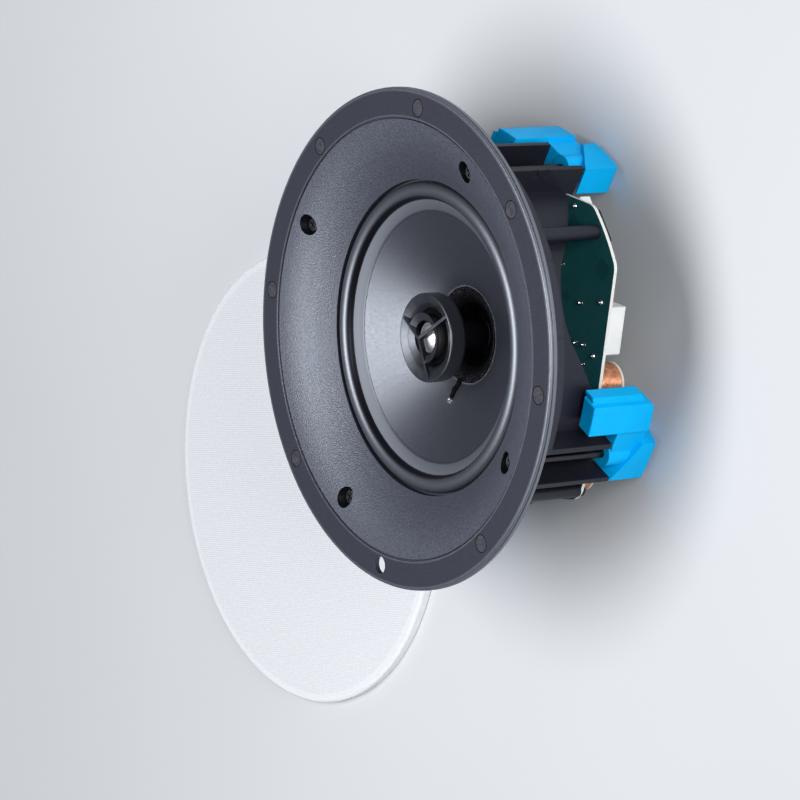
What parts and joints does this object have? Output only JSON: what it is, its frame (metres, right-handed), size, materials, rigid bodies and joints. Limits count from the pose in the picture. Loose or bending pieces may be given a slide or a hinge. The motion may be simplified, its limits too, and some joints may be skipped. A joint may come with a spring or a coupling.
{
  "type": "ceiling speaker",
  "caption": "Round flush-mount two-way ceiling speaker with a coaxial tweeter, swing-out dog-leg clamps, open-arch housing, crossover board and a lift-off magnetic grille.",
  "frame": {"origin": "centre of the flange's rear rim, on the speaker axis, in the plane that seats on the ceiling", "axes": "+Z along the speaker axis, the way the front faces; -Z into the ceiling void; +Y is up in the picture; the speaker lies on its back on its four clamps, with the grille face up beside it"},
  "size_m": [0.4408, 0.3069, 0.0824],
  "materials": {
    "frame_plastic": "fine moulded grain, satin",
    "grille_steel": "white powder coat, micro-perforated",
    "clamp_plastic": "smooth moulded blue",
    "screw_steel": "bright zinc",
    "magnet_disc": "dark coated",
    "basket_metal": "black coated",
    "rubber_black": "satin rubber",
    "cone_poly": "satin filled polymer",
    "felt": "fuzzy felt",
    "tinned": "tinned",
    "former": "polymer film",
    "copper": "enamelled copper wire",
    "cloth": "impregnated cloth",
    "motor_steel": "black plated",
    "ferrite": "ground ferrite",
    "pod_plastic": "satin black",
    "dome_metal": "bright anodised",
    "board_green": "solder resist",
    "ceramic": "cement fired",
    "bobbin": "moulded",
    "film_yellow": "taped film",
    "terminal_black": "moulded",
    "plug_white": "moulded"
  },
  "bodies": {
    "speaker": {"main_frame": "frame_plastic", "grille_magnets": "magnet_disc", "grille": "grille_steel", "woofer_basket": "basket_metal", "woofer_gasket": "rubber_black", "woofer_screws": "screw_steel", "surround": "rubber_black", "spider": "cloth", "top_plate": "motor_steel", "woofer_magnet": "ferrite", "pole_plate": "motor_steel", "tweeter_post": "pod_plastic", "tweeter_housing": "pod_plastic", "tweeter_guard": "pod_plastic", "tweeter_dome": "dome_metal", "tweeter_surround": "rubber_black", "tweeter_motor": "motor_steel", "crossover_board": "board_green", "board_screws": "screw_steel", "cement_resistor": "ceramic", "inductor_1_bobbin": "bobbin", "inductor_1_coil": "copper", "inductor_2_bobbin": "bobbin", "inductor_2_coil": "copper", "capacitor_1": "film_yellow", "capacitor_2": "film_yellow", "terminal_block": "terminal_black", "link_plug": "plug_white"},
    "cone": {"woofer_cone": "cone_poly", "neck_felt_ring": "felt", "lead_eyelets": "tinned", "cone_leads": "rubber_black", "voice_coil_former": "former", "voice_coil": "copper"},
    "clamp_1": {"clamp_1": "clamp_plastic", "clamp_screw_1": "screw_steel"},
    "clamp_2": {"clamp_2": "clamp_plastic", "clamp_screw_2": "screw_steel"},
    "clamp_3": {"clamp_3": "clamp_plastic", "clamp_screw_3": "screw_steel"},
    "clamp_4": {"clamp_4": "clamp_plastic", "clamp_screw_4": "screw_steel"}
  },
  "joints": [
    {"name": "clamp_1_swing", "type": "hinge", "parent": "speaker", "child": "clamp_1", "pos_m": [0.05579, 0.07403, 0], "axis": [0, 0, 1], "range_deg": [-90, 0]},
    {"name": "clamp_2_swing", "type": "hinge", "parent": "speaker", "child": "clamp_2", "pos_m": [-0.07403, 0.05579, 0], "axis": [0, 0, 1], "range_deg": [-90, 0]},
    {"name": "clamp_3_swing", "type": "hinge", "parent": "speaker", "child": "clamp_3", "pos_m": [-0.05579, -0.07403, 0], "axis": [0, 0, 1], "range_deg": [-90, 0]},
    {"name": "clamp_4_swing", "type": "hinge", "parent": "speaker", "child": "clamp_4", "pos_m": [0.07403, -0.05579, 0], "axis": [0, 0, 1], "range_deg": [-90, 0]},
    {"name": "cone_travel", "type": "slide", "parent": "speaker", "child": "cone", "axis": [0, 0, 1], "range_m": [-0.0025, 0.0025], "stiffness_N_per_m": 1200, "deforming": ["surround", "spider"]}
  ]
}
